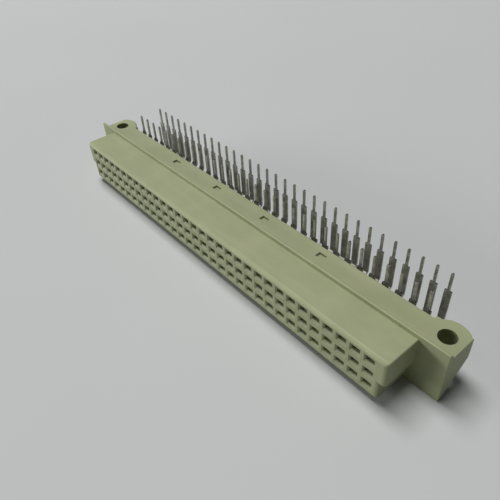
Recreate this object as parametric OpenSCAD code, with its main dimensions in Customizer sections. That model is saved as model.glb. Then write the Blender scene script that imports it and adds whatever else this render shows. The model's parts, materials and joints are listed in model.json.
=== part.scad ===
// Right-angle socket connector for the edge of a circuit board, lying with its board side up.
// X runs along the connector, Y from the mating face to the solder tails and Z up.
// The origin is under the middle of the part, on the surface that it stands on.

/* [Contact grid] */
// Number of contact columns along the connector
columns = 32; // [16:1:48]
// Distance between neighbouring contacts, along and across the connector
pitch = 2.54; // [2.5:0.01:2.7]
// Height of the middle contact row
middle_row_z = 5.25; // [5.1:0.05:5.4]

/* [Mating body] */
// Distance from the last contact column to the end of the mating body
body_end = 2.93; // [2.7:0.01:3.5]
// How far the mating body stands out of the flange
body_d = 6.6; // [5:0.1:9]
// Height of the top of the mating body
body_top = 9.4; // [9.2:0.1:10]
// Height of the underside of the mating body
body_bottom = 0.8; // [0.5:0.1:1.1]
// Height of the ledge where both ends of the body step in
ledge_z = 4.4; // [3.5:0.1:5]
// Depth of that step
ledge_w = 0.9; // [0.3:0.1:1.2]
// Chamfer around the mating face
edge_chamfer = 0.4; // [0.1:0.05:0.5]

/* [Contact openings] */
// Width of a contact opening
opening_w = 1.5; // [0.9:0.05:1.6]
// Height of a contact opening
opening_h = 0.85; // [0.6:0.05:0.95]
// Width of the lead-in funnel at the mating face
funnel_w = 1.95; // [1.6:0.05:2.2]
// Height of the lead-in funnel at the mating face
funnel_h = 1.7; // [1.1:0.05:1.8]
// Depth of the lead-in funnel
funnel_d = 0.3; // [0.2:0.05:1]
// Thickness of the wall in front of the cavities
front_wall = 1.6; // [1.2:0.1:2]
// Width of a contact cavity
cavity_w = 1.7; // [1.6:0.05:1.9]
// Height of a contact cavity
cavity_h = 1.1; // [1:0.05:1.2]

/* [Flange] */
// Depth of the flange between the ears, from its front to its rear wall
flange_d = 5.3; // [5:0.1:7]
// Height of the face that the board rests on
seat_z = 9; // [8.9:0.05:9.2]
// Height of the stop lip above that face
lip_h = 1.15; // [0.8:0.05:1.8]
// Depth of the flat top of the lip
lip_flat = 0.45; // [0.2:0.05:1]
// Depth of the slope behind that flat top
lip_slope = 0.75; // [0.3:0.05:1.5]
// How far each ear reaches in past the end of the mating body
ear_inset = 1; // [0.5:0.1:2]
// Distance from a mounting hole to the outer end of its ear
ear_end = 2.65; // [2:0.05:3.5]
// Depth of an ear, from the front of the flange
ear_d = 5.9; // [5.5:0.1:7.5]
// Thickness of an ear at its rear edge
ear_t = 3.9; // [2.5:0.1:4.5]
// Depth of the foot under an ear, in front of its sloping underside
ear_foot = 0.4; // [0.2:0.1:2]

/* [Mounting holes] */
// Diameter of a mounting hole
hole_d = 2.8; // [2.2:0.1:3.2]
// Distance from the end of the mating body out to a mounting hole
hole_offset = 2.15; // [1.8:0.05:4]
// Distance from the front of the flange back to a mounting hole
hole_y = 3.6; // [3.4:0.1:4.2]
// Radius of the rounded boss behind a mounting hole
boss_r = 3.3; // [2.6:0.1:3.6]

/* [Seat recesses] */
// Number of small recesses in the board seat
recess_count = 4; // [2:1:6]
// Distance between neighbouring recesses
recess_pitch = 14; // [6:0.5:16]
// Length of a recess along the connector
recess_w = 1.6; // [1:0.1:3]
// Depth of a recess towards the rear
recess_d = 1.1; // [0.6:0.1:2]
// Distance from the front of the flange to the rear side of a recess
recess_rear = 3.9; // [3.4:0.1:4.6]
// How deep a recess is sunk into the seat
recess_sink = 0.4; // [0.1:0.05:0.45]

/* [Contacts] */
// Thickness of the sheet that the springs and the box are folded from
spring_t = 0.2; // [0.15:0.01:0.22]
// Thickness of the rear half of a contact
tail_t = 0.35; // [0.3:0.05:0.5]
// Gap between a contact's box and the walls of its cavity
box_gap = 0.05; // [0.02:0.01:0.08]
// Length of the box
box_d = 1.6; // [1:0.1:3]
// Distance from the front of the flange back to the front of the box
box_set_back = 0.8; // [0.2:0.1:2]
// Width of a spring beam
beam_w = 1.2; // [0.8:0.05:1.4]
// Gap between the two beams where they grip
nose_gap = 0.44; // [0.3:0.02:0.5]
// Length of the flared tip of a beam
beam_tip = 0.8; // [0.4:0.1:1.5]
// Gap between the tips of the beams and the wall in front of them
tip_gap = 0.6; // [0.2:0.1:1]
// How far the flat run of a contact reaches into its box
strip_lap = 0.6; // [0.3:0.1:0.9]
// Width of the flat run and of the shank
shank_w = 1.25; // [1:0.05:1.5]
// Inner radius of the bend
bend_r = 0.4; // [0.2:0.05:0.5]
// Distance from the rear wall to the middle of the front row of tails
front_row_gap = 1.15; // [0.9:0.05:1.7]
// Distance from the front to the rear row of tails, in contact pitches
row_steps = 2; // [2:1:3]
// How far the shoulders of the front row lie below the board seat
front_shoulder = 0.7; // [0.3:0.05:0.75]
// How far the shoulders of the rear row lie below the board seat
rear_shoulder = 0.3; // [0.05:0.05:0.7]
// Width of a solder tail
tail_w = 0.45; // [0.4:0.05:0.8]
// Length of a solder tail above the board seat
tail_h = 3.2; // [2:0.1:5]
// Chamfer at the tip of a solder tail
tip_chamfer = 0.12; // [0.05:0.01:0.18]

/* [Hidden] */
$fn = 48;
// How far a cutting shape runs past the surface that it cuts
overcut = 0.1;
housing_colour = [0.66, 0.68, 0.53];
contact_colour = [0.56, 0.55, 0.53];

column_x = [for (i = [1:columns]) (i - (columns + 1) / 2) * pitch];
row_z = [for (k = [-1:1]) middle_row_z + k * pitch];
lower_row_z = row_z[0];
upper_row_z = row_z[2];

body_half = (columns - 1) * pitch / 2 + body_end;
hole_x = body_half + hole_offset;
ear_half = hole_x + ear_end;
middle_half = body_half - ear_inset;
lip_top = seat_z + lip_h;
lip_back = body_d + lip_flat + lip_slope;
rear_y = body_d + flange_d;

box_w = cavity_w - 2 * box_gap;
box_h = cavity_h - 2 * box_gap;
box_front = body_d + box_set_back;
box_rear = box_front + box_d;
beam_front = front_wall + tip_gap;
front_tail_y = rear_y + front_row_gap;
rear_tail_y = front_tail_y + row_steps * pitch;
tail_tip = seat_z + tail_h;
front_y = -(rear_tail_y + tail_t / 2) / 2;

function pair_name(i) = str("contact_pair_", i < 10 ? "0" : "", i);

// Extrudes a side outline, drawn as (y, z), to a width centred on X.
module along_x(width) {
    rotate([90, 0, 90])
        linear_extrude(width, center = true)
            children();
}

// Extrudes a front outline, drawn as (x, z), from one Y to another.
module along_y(from, to) {
    translate([0, to, 0])
        rotate([90, 0, 0])
            linear_extrude(to - from)
                children();
}

// A block of the mating body with chamfers around its front face.
module nosed_block(half_w, low, high) {
    depth = body_d + overcut;
    c = edge_chamfer;
    intersection() {
        translate([0, 0, low])
            linear_extrude(high - low)
                polygon([[c - half_w, 0], [half_w - c, 0], [half_w, c], [half_w, depth], [-half_w, depth],
                         [-half_w, c]]);
        along_x(2 * half_w)
            polygon([[0, low + c], [c, low], [depth, low], [depth, high], [c, high], [0, high - c]]);
    }
}

// The mating body: its lower part steps in at both ends, so that it mates one way round.
module mating_body() {
    lap = 3 * edge_chamfer;
    nosed_block(body_half, ledge_z, body_top);
    nosed_block(body_half - ledge_w, body_bottom, ledge_z + lap);
}

// Side outline of the front of the flange: its front face, the lip and the slope down to the seat.
function lip_outline() = [[body_d, 0], [body_d, lip_top], [body_d + lip_flat, lip_top], [lip_back, seat_z]];

module middle_flange() {
    along_x(2 * middle_half)
        polygon(concat(lip_outline(), [[rear_y, seat_z], [rear_y, 0]]));
}

module ear() {
    ear_rear = body_d + ear_d;
    under = seat_z - ear_t;
    overlap = middle_half - overcut;
    translate([(overlap + ear_half) / 2, 0, 0])
        along_x(ear_half - overlap)
            polygon(concat(lip_outline(), [[ear_rear, seat_z], [ear_rear, under], [body_d + ear_foot, 0]]));
    intersection() {
        translate([hole_x, body_d + hole_y, under])
            cylinder(r = boss_r, h = ear_t);
        translate([0, body_d, under])
            cube([ear_half, 2 * ear_d, ear_t]);
    }
}

// One prism through the housing for every contact.
module contact_grid(width, height, from, to) {
    along_y(from, to)
        for (x = column_x, z = row_z)
            translate([x - width / 2, z - height / 2])
                square([width, height]);
}

// Half the width of a lead-in funnel at a depth y, when it narrows from one full width to another.
function funnel_half(y, wide, narrow) = (wide - (wide - narrow) * y / funnel_d) / 2;

// Section through a funnel about a centre line, drawn as (across, y).
function funnel_section(centre, wide, narrow) = [
    for (p = [[-1, -overcut], [1, -overcut], [1, funnel_d + overcut], [-1, funnel_d + overcut]])
        [centre + p[0] * funnel_half(p[1], wide, narrow), p[1]]
];

// The funnels lie where wedges along the columns cross wedges along the rows.
module lead_in_funnels() {
    intersection() {
        linear_extrude(body_top)
            for (x = column_x)
                polygon(funnel_section(x, funnel_w, opening_w));
        along_x(2 * body_half)
            for (z = row_z)
                polygon([for (p = funnel_section(z, funnel_h, opening_h)) [p[1], p[0]]]);
    }
}

module contact_cavities() {
    lead_in_funnels();
    contact_grid(opening_w, opening_h, funnel_d / 2, front_wall + overcut);
    contact_grid(cavity_w, cavity_h, front_wall, rear_y + overcut);
}

module mounting_holes() {
    for (side = [-1, 1])
        translate([side * hole_x, body_d + hole_y, -overcut])
            cylinder(d = hole_d, h = seat_z + 2 * overcut);
}

module seat_recesses() {
    for (i = [1:recess_count])
        translate([(i - (recess_count + 1) / 2) * recess_pitch - recess_w / 2,
                   body_d + recess_rear - recess_d, seat_z - recess_sink])
            cube([recess_w, recess_d, recess_sink + overcut]);
}

module housing() {
    color(housing_colour)
        translate([0, front_y, 0])
            difference() {
                union() {
                    mating_body();
                    middle_flange();
                    ear();
                    mirror([1, 0, 0])
                        ear();
                }
                contact_cavities();
                mounting_holes();
                seat_recesses();
            }
}

// The upper beam of a contact as a side outline about the contact's own axis.
module beam_outline() {
    root = box_h / 2;
    nose = nose_gap / 2 + spring_t;
    nose_y = beam_front + beam_tip;
    edge = [[box_rear, root], [box_front, root], [nose_y, nose], [beam_front, root]];
    polygon(concat(edge, [for (i = [3:-1:0]) edge[i] - [0, spring_t]]));
}

// The folded box that holds a contact in its cavity, with its two spring beams.
module contact_front() {
    difference() {
        translate([-box_w / 2, box_front, -box_h / 2])
            cube([box_w, box_d, box_h]);
        translate([spring_t - box_w / 2, box_front - overcut, spring_t - box_h / 2])
            cube([box_w - 2 * spring_t, box_d + 2 * overcut, box_h - 2 * spring_t]);
    }
    for (flip = [0, 1])
        mirror([0, 0, flip])
            along_x(beam_w)
                beam_outline();
}

// The flat run from the box to the rear and the bend up to the shank, as a side outline.
module strip_outline(tail_y) {
    bend_y = tail_y - tail_t / 2 - bend_r;
    translate([box_rear - strip_lap, -box_h / 2])
        square([bend_y - box_rear + strip_lap, tail_t]);
    translate([bend_y, tail_t + bend_r - box_h / 2])
        intersection() {
            difference() {
                circle(bend_r + tail_t);
                circle(bend_r);
            }
            translate([0, -bend_r - tail_t])
                square(bend_r + tail_t);
        }
}

// The upright end of a contact, from its bend to its tip, as a front outline.
module upright_outline(bend_top, shoulder_z) {
    right = [[shank_w, bend_top], [shank_w, shoulder_z], [tail_w, shoulder_z],
             [tail_w, tail_tip - tip_chamfer], [tail_w - 2 * tip_chamfer, tail_tip]];
    last = len(right) - 1;
    polygon([for (side = [1, -1], i = [0:last])
        let (p = right[side > 0 ? i : last - i]) [side * p[0] / 2, p[1]]]);
}

module contact(x, z, tail_y, shoulder) {
    bend_top = z - box_h / 2 + tail_t + bend_r;
    translate([x, 0, z]) {
        contact_front();
        along_x(shank_w)
            strip_outline(tail_y);
    }
    translate([x, 0, 0])
        along_y(tail_y - tail_t / 2, tail_y + tail_t / 2)
            upright_outline(bend_top, seat_z - shoulder);
}

// The two contacts of a column: the upper cavity feeds the front row of tails, the lower one the rear row.
module contact_pair(i) {
    color(contact_colour)
        translate([0, front_y, 0]) {
            contact(column_x[i - 1], upper_row_z, front_tail_y, front_shoulder);
            contact(column_x[i - 1], lower_row_z, rear_tail_y, rear_shoulder);
        }
}

housing();
for (i = [1:columns])
    contact_pair(i);
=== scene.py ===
"""Looks of a right-angle board connector: one moulded housing and two rows of bent, tin-plated contacts."""
import json
import math

import bmesh
import bpy
from mathutils import Matrix, Quaternion, Vector


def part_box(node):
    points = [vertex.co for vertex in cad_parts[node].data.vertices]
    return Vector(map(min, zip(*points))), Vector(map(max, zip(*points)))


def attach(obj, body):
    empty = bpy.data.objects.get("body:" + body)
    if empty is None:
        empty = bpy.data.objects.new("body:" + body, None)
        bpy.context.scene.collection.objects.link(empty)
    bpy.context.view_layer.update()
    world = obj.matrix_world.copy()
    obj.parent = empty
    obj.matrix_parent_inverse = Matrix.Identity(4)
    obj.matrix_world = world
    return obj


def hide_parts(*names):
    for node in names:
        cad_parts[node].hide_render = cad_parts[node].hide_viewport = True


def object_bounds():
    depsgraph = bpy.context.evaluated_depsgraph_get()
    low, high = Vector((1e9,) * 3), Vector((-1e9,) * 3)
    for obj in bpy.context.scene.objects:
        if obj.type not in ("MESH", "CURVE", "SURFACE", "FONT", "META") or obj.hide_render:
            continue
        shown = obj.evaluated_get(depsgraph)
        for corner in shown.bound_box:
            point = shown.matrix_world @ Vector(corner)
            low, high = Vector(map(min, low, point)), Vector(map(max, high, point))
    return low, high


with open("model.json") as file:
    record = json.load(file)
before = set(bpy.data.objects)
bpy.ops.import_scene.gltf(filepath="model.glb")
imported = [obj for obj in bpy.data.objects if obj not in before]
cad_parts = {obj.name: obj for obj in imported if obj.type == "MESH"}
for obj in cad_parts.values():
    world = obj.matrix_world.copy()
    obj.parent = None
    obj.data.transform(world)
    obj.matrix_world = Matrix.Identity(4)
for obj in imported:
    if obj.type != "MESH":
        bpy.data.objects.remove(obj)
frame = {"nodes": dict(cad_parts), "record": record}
CAD_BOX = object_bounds()

MM = 0.001
MOUNTS = {mount["name"]: mount for mount in frame["record"]["mounts"]}
PAIRS = sorted(name for name in frame["nodes"] if name.startswith("contact_pair_"))
HOUSING_LOW, HOUSING_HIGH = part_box("housing")

# Places on the housing, from the frame
SEAT_Y, SEAT_Z = MOUNTS["board_seat"]["pos_m"][1:]
MIDDLE_ROW_Z = MOUNTS["mating_face"]["pos_m"][2]
MATING_Y = HOUSING_LOW.y
HOLE_SPACING = MOUNTS["mounting_holes"]["dims"]["spacing_x_mm"] * MM
HOLE_RADIUS = MOUNTS["mounting_holes"]["dims"]["hole_r_mm"] * MM
HOLE_Y = MOUNTS["mounting_holes"]["pos_m"][1]
COLUMN_X = [sum(corner.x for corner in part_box(name)) / 2 for name in PAIRS]
PITCH = COLUMN_X[1] - COLUMN_X[0]

# Half the field of contact openings, along and across
FIELD_X = COLUMN_X[-1] + PITCH / 2
FIELD_Z = 1.4 * PITCH

# How near a point lies to what it belongs to
ON_A_FACE = 0.02 * MM
RECESS_REACH = 0.8 * MM

# How the solids' triangles are joined into flat faces
MERGE_DISTANCE = 0.0005 * MM
FLAT_ANGLE = math.radians(0.2)

# Which edges are rounded: the sharp ones, and those below the chamfer angle lie along a chamfer
SHARP_ANGLE = math.radians(25)
CHAMFER_ANGLE = math.radians(65)

# How strongly a flat face keeps its shading beside a rounded edge, at most 100
FLAT_FACE_WEIGHT = 100

# How the moulding's edges are rounded
CHAMFER_ROUND = 0.27 * MM
OUTER_ROUND = 0.22 * MM
END_ROUND = 0.15 * MM
CORNER_FILLET = 0.06 * MM
HOLE_ROUND = 0.05 * MM
OPENING_ROUND = 0.05 * MM
RECESS_ROUND = 0.03 * MM
MOULDING_STEPS = 3

# How the contacts' stamped edges are rounded
STAMPED_ROUND = 0.045 * MM
STAMPED_STEPS = 2


def take(piece):
    """Makes a piece the only selected object and the active one."""
    bpy.ops.object.select_all(action="DESELECT")
    piece.select_set(True)
    bpy.context.view_layer.objects.active = piece


def copy_of(node, name, cuts=()):
    """A copy of a node as its own piece, its triangles joined into flat faces that end at the cuts in X."""
    piece = bpy.data.objects.new(name, frame["nodes"][node].data.copy())
    bpy.context.scene.collection.objects.link(piece)
    take(piece)
    bpy.ops.mesh.customdata_custom_splitnormals_clear()
    bpy.ops.object.mode_set(mode="EDIT")
    bpy.ops.mesh.select_all(action="SELECT")
    bpy.ops.mesh.remove_doubles(threshold=MERGE_DISTANCE)
    for x in cuts:
        bpy.ops.mesh.select_all(action="SELECT")
        bpy.ops.mesh.bisect(plane_co=(x, 0, 0), plane_no=(1, 0, 0), threshold=MERGE_DISTANCE)
        bpy.ops.mesh.mark_seam()
    bpy.ops.mesh.select_all(action="SELECT")
    bpy.ops.mesh.dissolve_limited(angle_limit=FLAT_ANGLE, delimit={"SEAM"})
    bpy.ops.object.mode_set(mode="OBJECT")
    return piece


def round_edges(piece, radius_of, largest, steps):
    """Rounds each sharp edge of a piece by the radius that radius_of gives. Radius 0 leaves it sharp."""
    shape = bmesh.new()
    shape.from_mesh(piece.data)
    weights = shape.edges.layers.float.new("bevel_weight_edge")
    for edge in shape.edges:
        if edge.calc_face_angle(0) > SHARP_ANGLE:
            edge[weights] = radius_of(edge) / largest
            edge.smooth = edge[weights] > 0
    shape.to_mesh(piece.data)
    shape.free()
    take(piece)
    bevel = piece.modifiers.new("rounded_edges", "BEVEL")
    bevel.limit_method = "WEIGHT"
    bevel.width = largest
    bevel.segments = steps
    bevel.use_clamp_overlap = False
    bevel.miter_outer = "MITER_SHARP"
    bpy.ops.object.modifier_apply(modifier=bevel.name)
    piece.data.shade_smooth()
    normals = piece.modifiers.new("flat_faces_stay_flat", "WEIGHTED_NORMAL")
    normals.weight = FLAT_FACE_WEIGHT
    normals.keep_sharp = True
    bpy.ops.object.modifier_apply(modifier=normals.name)


def in_opening_field(point):
    """Whether a point lies among the contact openings, seen along the mating direction."""
    return abs(point.x) < FIELD_X and abs(point.z - MIDDLE_ROW_Z) < FIELD_Z


def on_hole_rim(point):
    """Whether a point lies on the wall of a mounting hole."""
    away = Vector((abs(point.x) - HOLE_SPACING / 2, point.y - HOLE_Y)).length
    return abs(away - HOLE_RADIUS) < ON_A_FACE


def in_seat_recess(point):
    """Whether a point lies on one of the small recesses in the board seat."""
    away = abs(point.y - SEAT_Y), abs(point.z - SEAT_Z)
    return abs(point.x) < COLUMN_X[-1] and max(away) < RECESS_REACH


def on_ear_end(point):
    """Whether a point lies on the outer end of an ear."""
    return abs(point.x) > HOUSING_HIGH.x - ON_A_FACE


def beside_ear(point):
    """Whether a point lies behind the middle of the board seat, between the mounting holes."""
    return point.y > SEAT_Y and abs(point.x) < HOLE_SPACING / 2


def in_ear_corner(point):
    """Whether a point lies low in the corner between an ear's inner side and the rear wall."""
    at_middle_row = abs(point.z - MIDDLE_ROW_Z) < PITCH / 2
    return at_middle_row and point.y > SEAT_Y and abs(point.x) < COLUMN_X[-1] + PITCH


def housing_radius(edge):
    """The radius of an edge of the moulding, by where it runs."""
    ends = [vert.co for vert in edge.verts]
    if all(in_seat_recess(point) for point in ends):
        return RECESS_ROUND
    if all(in_opening_field(point) for point in ends):
        at_front = min(point.y for point in ends) < MATING_Y + PITCH / 2
        return OPENING_ROUND if at_front else 0
    if all(on_hole_rim(point) for point in ends):
        return HOLE_ROUND
    if edge.calc_face_angle_signed() < 0:
        return OUTER_ROUND if all(beside_ear(point) for point in ends) else CORNER_FILLET
    if all(in_ear_corner(point) for point in ends):
        return CORNER_FILLET
    on_lip = max(point.z for point in ends) > HOUSING_HIGH.z - ON_A_FACE
    on_underside = max(point.z for point in ends) < HOUSING_LOW.z + ON_A_FACE
    if on_lip or on_underside or all(on_ear_end(point) for point in ends):
        return END_ROUND
    if edge.calc_face_angle() < CHAMFER_ANGLE:
        return CHAMFER_ROUND
    return OUTER_ROUND


def make_housing():
    """The moulding, cut through every hole's middle first, so that no face goes round a hole."""
    cuts = COLUMN_X + [-HOLE_SPACING / 2, HOLE_SPACING / 2]
    housing = copy_of("housing", "moulded_housing", cuts)
    round_edges(housing, housing_radius, CHAMFER_ROUND, MOULDING_STEPS)
    return housing


def make_contacts():
    """Models one pair of contacts and copies it to every column."""
    first = copy_of(PAIRS[0], "plated_" + PAIRS[0])
    round_edges(first, lambda edge: STAMPED_ROUND, STAMPED_ROUND, STAMPED_STEPS)
    pieces = [first]
    for name, x in zip(PAIRS[1:], COLUMN_X[1:]):
        copy = bpy.data.objects.new("plated_" + name, first.data.copy())
        copy.data.transform(Matrix.Translation((x - COLUMN_X[0], 0, 0)))
        bpy.context.scene.collection.objects.link(copy)
        pieces.append(copy)
    return pieces


class Value:
    """A shader socket. Arithmetic on it adds Math nodes."""

    def __init__(self, nodes, socket):
        self.nodes = nodes
        self.socket = socket

    def _math(self, operation, other):
        return self.nodes.add("ShaderNodeMath", {"operation": operation}, {0: self, 1: other})

    def __add__(self, other):
        return self._math("ADD", other)

    def __mul__(self, other):
        return self._math("MULTIPLY", other)

    __radd__ = __add__
    __rmul__ = __mul__


class Nodes:
    """The shader nodes of a material or of the world."""

    def __init__(self, tree):
        self.tree = tree

    def add(self, kind, settings=None, inputs=None, output=0):
        """Adds a node, sets it up, feeds its sockets and returns one of its outputs."""
        node = self.tree.nodes.new(kind)
        for name, value in (settings or {}).items():
            setattr(node, name, value)
        for socket, value in (inputs or {}).items():
            self.feed(node.inputs[socket], value)
        return Value(self, node.outputs[output])

    def feed(self, socket, value):
        """Links a value to a socket, or sets the socket to a plain number or colour."""
        if isinstance(value, Value):
            self.tree.links.new(value.socket, socket)
        else:
            socket.default_value = value

    def between(self, amount, low, high):
        """A value from low to high as the amount goes from 0 to 1."""
        return low + amount * (high - low)


# Sockets of a Mix node that mixes colours
MIX_AMOUNT, MIX_FIRST, MIX_SECOND, MIX_RESULT = 0, 6, 7, 2


class Finish(Nodes):
    """A material and the nodes that make it."""

    def __init__(self, name):
        self.material = bpy.data.materials.new(name)
        self.material.use_nodes = True
        super().__init__(self.material.node_tree)

    def drive(self, inputs):
        """Feeds the shader's own sockets."""
        shader = self.tree.nodes["Principled BSDF"]
        for socket, value in inputs.items():
            self.feed(shader.inputs[socket], value)

    def place(self, stretch=(1, 1, 1)):
        """Object coordinates in millimetres, stretched along the axes."""
        coordinates = self.add("ShaderNodeTexCoord", output="Object")
        return self.add("ShaderNodeMapping", inputs={"Vector": coordinates, "Scale": Vector(stretch) / MM})

    def noise(self, place, scale, detail=2, roughness=0.5):
        """Clouds from 0 to 1, with as many to the millimetre as the scale says."""
        inputs = {"Vector": place, "Scale": scale, "Detail": detail, "Roughness": roughness}
        return self.add("ShaderNodeTexNoise", inputs=inputs, output="Fac")

    def upward(self, vector):
        """The part of a vector that points up."""
        return self.add("ShaderNodeSeparateXYZ", inputs={"Vector": vector}, output="Z")

    def ramp(self, amount, low, high):
        """0 below low, 1 above high and smooth between."""
        inputs = {"Value": amount, "From Min": low, "From Max": high}
        return self.add("ShaderNodeMapRange", {"interpolation_type": "SMOOTHSTEP"}, inputs)

    def blend(self, amount, first, second):
        """A colour from first to second as the amount goes from 0 to 1."""
        inputs = {MIX_AMOUNT: amount, MIX_FIRST: first, MIX_SECOND: second}
        return self.add("ShaderNodeMix", {"data_type": "RGBA"}, inputs, output=MIX_RESULT)

    def bump(self, height, strength, distance):
        """The normal of a surface that rises and falls with the height."""
        inputs = {"Height": height, "Strength": strength, "Distance": distance}
        return self.add("ShaderNodeBump", inputs=inputs, output="Normal")


def shade(red, green, blue):
    """A colour as it shows on a screen, from 0 to 255, as the shader wants it."""
    def linear(level):
        level /= 255
        return level / 12.92 if level <= 0.04045 else ((level + 0.055) / 1.055) ** 2.4
    return (linear(red), linear(green), linear(blue), 1)


# Colours of the finishes
SAGE = shade(149, 154, 117)
SAGE_PALE = shade(158, 162, 127)
SAGE_DEEP = shade(141, 147, 110)
TIN = shade(178, 178, 170)
TIN_DULL = shade(146, 146, 136)
# Dark tin: the sheared faces' own dull tone, and also painted shade on up-facing faces above the bend
TIN_DARK = shade(78, 76, 70)
BENCH = shade(193, 195, 194)
BENCH_DEEP = shade(188, 191, 190)
WHITE = shade(255, 255, 255)

# How strongly the plastic's pale streaks and specks show
STREAK_STRENGTH = 0.4
SPECK_STRENGTH = 0.3

# The tin's dullness: the share that its clouds have in it, and what the sheared and glint-shaded faces add
CLOUD_SHARE = 0.6
SHEARED_DULLNESS = 0.25

# How far below the board seat the contacts' sheared shoulders reach, where their dark tin and painted shade
# begin, and how that ends, in millimetres
SHEARED_DEPTH = 1.0
SHEARED_FADE = 0.2


def moulded_plastic():
    """Light sage plastic with faint flow clouds, a fine matt grain and pale filler specks."""
    finish = Finish("moulded_sage_plastic")
    place = finish.place()
    clouds = finish.noise(place, scale=0.16, detail=3)
    flow = finish.noise(finish.place(stretch=(0.12, 0.9, 0.9)), scale=0.7)
    grain = finish.noise(place, scale=6.5, roughness=0.6)
    streaks = finish.ramp(flow, low=0.45, high=0.8)
    specks = finish.ramp(finish.noise(place, scale=4.2, detail=1), low=0.66, high=0.74)
    clouded = finish.blend(finish.ramp(clouds, low=0.3, high=0.7), SAGE_DEEP, SAGE)
    streaked = finish.blend(streaks * STREAK_STRENGTH, clouded, SAGE_PALE)
    finish.drive({
        "Base Color": finish.blend(specks * SPECK_STRENGTH, streaked, SAGE_PALE),
        "Roughness": finish.between(grain, low=0.46, high=0.64),
        "IOR": 1.52,
        "Normal": finish.bump(grain, strength=0.35, distance=0.012 * MM),
    })
    return finish.material


def tin_plate():
    """Satin tin plating: cloudy, drawn lengthwise, dark and dull on the sheared shoulders and tips, with
    painted shade on every up-facing face above the bend that hides the lamp's glint.
    """
    finish = Finish("tin_plate")
    place = finish.place()
    clouds = finish.noise(place, scale=1.1, detail=3)
    drawn = finish.noise(finish.place(stretch=(9, 9, 0.7)), scale=1)
    shoulder_z = SEAT_Z / MM - SHEARED_DEPTH
    above_bend = finish.ramp(finish.upward(place), low=shoulder_z - SHEARED_FADE, high=shoulder_z)
    facing_up = finish.upward(finish.add("ShaderNodeTexCoord", output="Normal"))
    # Painted shade: every up-facing face above the bend turns dark tin to hide the lamp's glint, besides
    # the real dull tone of sheared faces
    sheared_and_glint_shade = finish.ramp(facing_up, low=0.5, high=0.85) * above_bend
    plated = finish.blend(finish.ramp(clouds, low=0.35, high=0.7), TIN_DULL, TIN)
    dullness = finish.between(clouds * CLOUD_SHARE + drawn * (1 - CLOUD_SHARE), low=0.46, high=0.66)
    finish.drive({
        "Base Color": finish.blend(sheared_and_glint_shade, plated, TIN_DARK),
        "Metallic": 1,
        "Roughness": dullness + sheared_and_glint_shade * SHEARED_DULLNESS,
        "Normal": finish.bump(drawn, strength=0.3, distance=0.01 * MM),
    })
    return finish.material


def bench_top():
    """The plain pale surface that the part lies on."""
    finish = Finish("pale_bench")
    tone = finish.noise(finish.place(), scale=0.02)
    finish.drive({"Base Color": finish.blend(tone, BENCH_DEEP, BENCH), "Roughness": 0.7})
    return finish.material


# Camera: the photograph's viewing angle, in degrees
CAMERA_TARGET = Vector((8.07, -3.77, 5.0)) * MM
CAMERA_DISTANCE = 92.6 * MM
CAMERA_AZIMUTH = 52.22
CAMERA_ELEVATION = 40.5
CAMERA_ROLL = -4.07
CAMERA_LENS = 37.14
CAMERA_SENSOR = 36

# Light from all round, what shows behind the floor, and the floor's size in metres
AMBIENT_LEVEL = 0.03
BACKDROP_LEVEL = 0.55
FLOOR_SIZE = 3


def direction(azimuth, elevation):
    """Unit vector from the object to an azimuth and elevation in degrees. Azimuth 0 is the mating side."""
    around, up = math.radians(azimuth), math.radians(elevation)
    return Vector((math.sin(around) * math.cos(up), -math.cos(around) * math.cos(up), math.sin(up)))


def aim(thing, towards):
    """Turns a camera or lamp to look back from the direction that it lies in."""
    thing.rotation_mode = "QUATERNION"
    thing.rotation_quaternion = (-towards).to_track_quat("-Z", "Y")


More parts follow.
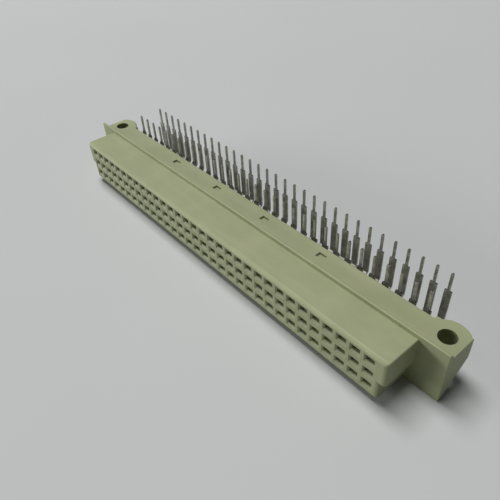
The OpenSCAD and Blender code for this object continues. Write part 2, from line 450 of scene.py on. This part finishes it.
def make_camera():
    """The camera, at the photograph's place and tilted as it was held."""
    back = direction(CAMERA_AZIMUTH, CAMERA_ELEVATION)
    bpy.ops.object.camera_add(location=CAMERA_TARGET + back * CAMERA_DISTANCE)
    camera = bpy.context.object
    aim(camera, back)
    camera.rotation_quaternion @= Quaternion((0, 0, 1), math.radians(CAMERA_ROLL))
    camera.data.lens = CAMERA_LENS
    camera.data.sensor_width = CAMERA_SENSOR
    camera.data.clip_start = MM
    bpy.context.scene.camera = camera


def softbox(name, azimuth, elevation, distance, width, height, level):
    """A flat lamp aimed at the object. Level 1 lights a white surface that faces it to full white."""
    towards = direction(azimuth, elevation)
    bpy.ops.object.light_add(type="AREA", location=towards * distance)
    lamp = bpy.context.object
    lamp.name = name
    aim(lamp, towards)
    lamp.data.shape = "RECTANGLE"
    lamp.data.size = width
    lamp.data.size_y = height
    lamp.data.energy = level * math.pi ** 2 * distance ** 2


def make_world():
    """Dim light from all round, and a pale backdrop for what the camera and the metal see."""
    world = bpy.data.worlds.new("studio")
    bpy.context.scene.world = world
    world.use_nodes = True
    nodes = Nodes(world.node_tree)
    background = world.node_tree.nodes["Background"]
    seen = nodes.add("ShaderNodeLightPath", output="Is Camera Ray")
    for ray in ("Is Glossy Ray", "Is Transmission Ray"):
        also_seen = nodes.add("ShaderNodeLightPath", output=ray)
        seen = nodes.add("ShaderNodeMath", {"operation": "MAXIMUM"}, {0: seen, 1: also_seen})
    nodes.feed(background.inputs["Color"], WHITE)
    nodes.feed(background.inputs["Strength"], nodes.between(seen, AMBIENT_LEVEL, BACKDROP_LEVEL))


def make_stage():
    """The floor, the lamps, the backdrop and the camera."""
    bpy.ops.object.select_all(action="DESELECT")
    bpy.ops.mesh.primitive_plane_add(size=FLOOR_SIZE, location=(0, 0, CAD_BOX[0].z))
    floor = bpy.context.object
    floor.name = "floor"
    floor.data.materials.append(bench_top())
    softbox("ceiling_lamp", azimuth=-98, elevation=73, distance=2, width=0.6, height=1.3, level=0.86)
    softbox("side_lamp", azimuth=-42, elevation=12, distance=4, width=2.5, height=0.8, level=0.56)
    make_world()
    make_camera()
    bpy.context.scene.view_settings.view_transform = "Standard"


def dress(piece, node, material):
    """Puts a finished piece in the place of its node."""
    piece.data.materials.clear()
    piece.data.materials.append(material)
    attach(piece, "root")
    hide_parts(node)


dress(make_housing(), "housing", moulded_plastic())
plating = tin_plate()
for pair, node in zip(make_contacts(), PAIRS):
    dress(pair, node, plating)
make_stage()
